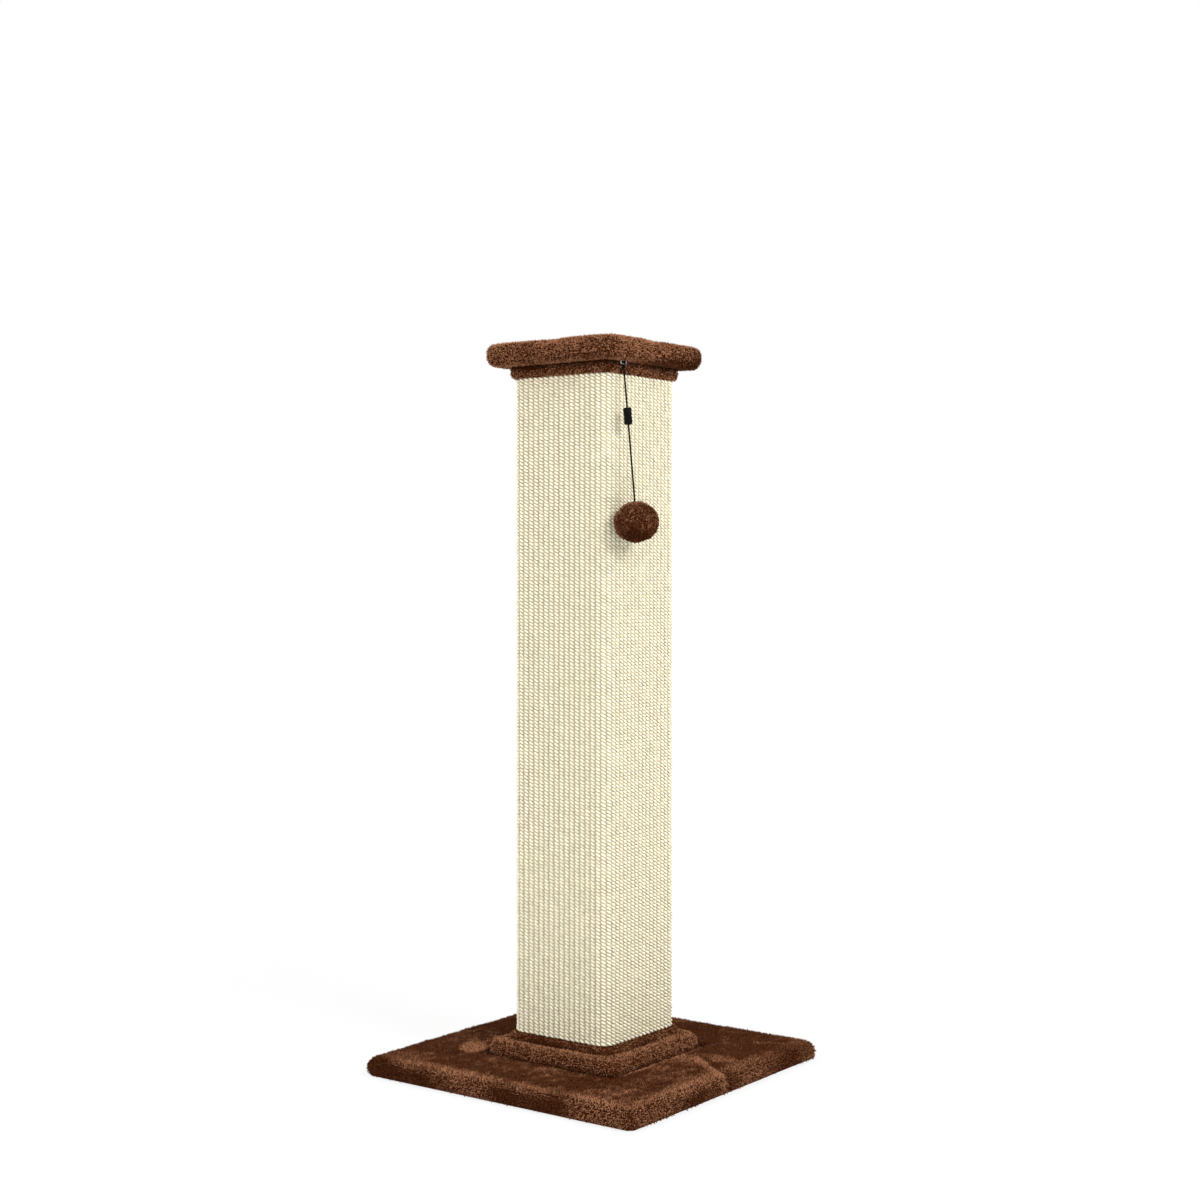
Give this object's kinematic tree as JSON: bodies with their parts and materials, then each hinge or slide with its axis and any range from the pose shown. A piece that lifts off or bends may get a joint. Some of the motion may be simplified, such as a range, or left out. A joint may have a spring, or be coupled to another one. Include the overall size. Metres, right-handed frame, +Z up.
{
  "type": "cat scratching post",
  "caption": "Square sisal-covered scratching post on a plush base with a foot pad, a plush perch on top and a plush ball hanging on a cord under the perch.",
  "frame": {"origin": "on the floor under the middle of the base", "axes": "+Z up along the post, -Y towards the face that the toy hangs in front of, +X to the right of a person who looks at that face"},
  "size_m": [0.38, 0.38, 0.837],
  "materials": {
    "brown_plush": "short matted pile",
    "sisal": "woven sisal loops",
    "particle_board": "raw particle board",
    "underside_felt": "needled felt",
    "plated_steel": "zinc plated",
    "black_cord": "braided elastic cord",
    "black_plastic": "satin",
    "wadding": "polyester wadding"
  },
  "bodies": {
    "stand": {"base_plush": "brown_plush", "foot_pad_plush": "brown_plush", "lower_cap_plush": "brown_plush", "upper_cap_plush": "brown_plush", "perch_plush": "brown_plush", "sisal_cover": "sisal", "base_board": "particle_board", "foot_pad_board": "particle_board", "lower_cap_board": "particle_board", "upper_cap_board": "particle_board", "perch_board": "particle_board", "front_panel": "particle_board", "back_panel": "particle_board", "left_panel": "particle_board", "right_panel": "particle_board", "lower_block": "particle_board", "upper_block": "particle_board", "base_felt": "underside_felt", "base_bolts": "plated_steel", "base_washers": "plated_steel", "tee_nuts": "plated_steel", "perch_screws": "plated_steel", "panel_brads": "plated_steel", "toy_staple": "plated_steel"},
    "toy_hanger": {"cord_loop": "black_cord"},
    "toy_line": {"toy_cord": "black_cord", "cord_sleeve": "black_plastic"},
    "toy_ball": {"ball_core": "wadding", "ball_plush": "brown_plush"}
  },
  "joints": [
    {"name": "toy_swing_out", "type": "hinge", "parent": "stand", "child": "toy_hanger", "pos_m": [-0.05, -0.0775, 0.8083], "axis": [-1, 0, 0], "range_deg": [0, 75]},
    {"name": "toy_swing_side", "type": "hinge", "parent": "toy_hanger", "child": "toy_line", "pos_m": [-0.05, -0.07789, 0.80442], "axis": [0, 1, 0], "range_deg": [-70, 70]},
    {"name": "ball_twist", "type": "hinge", "parent": "toy_line", "child": "toy_ball", "pos_m": [-0.05, -0.0952, 0.63169], "axis": [0, 0.0997, 0.995], "range_deg": [-180, 180]}
  ]
}
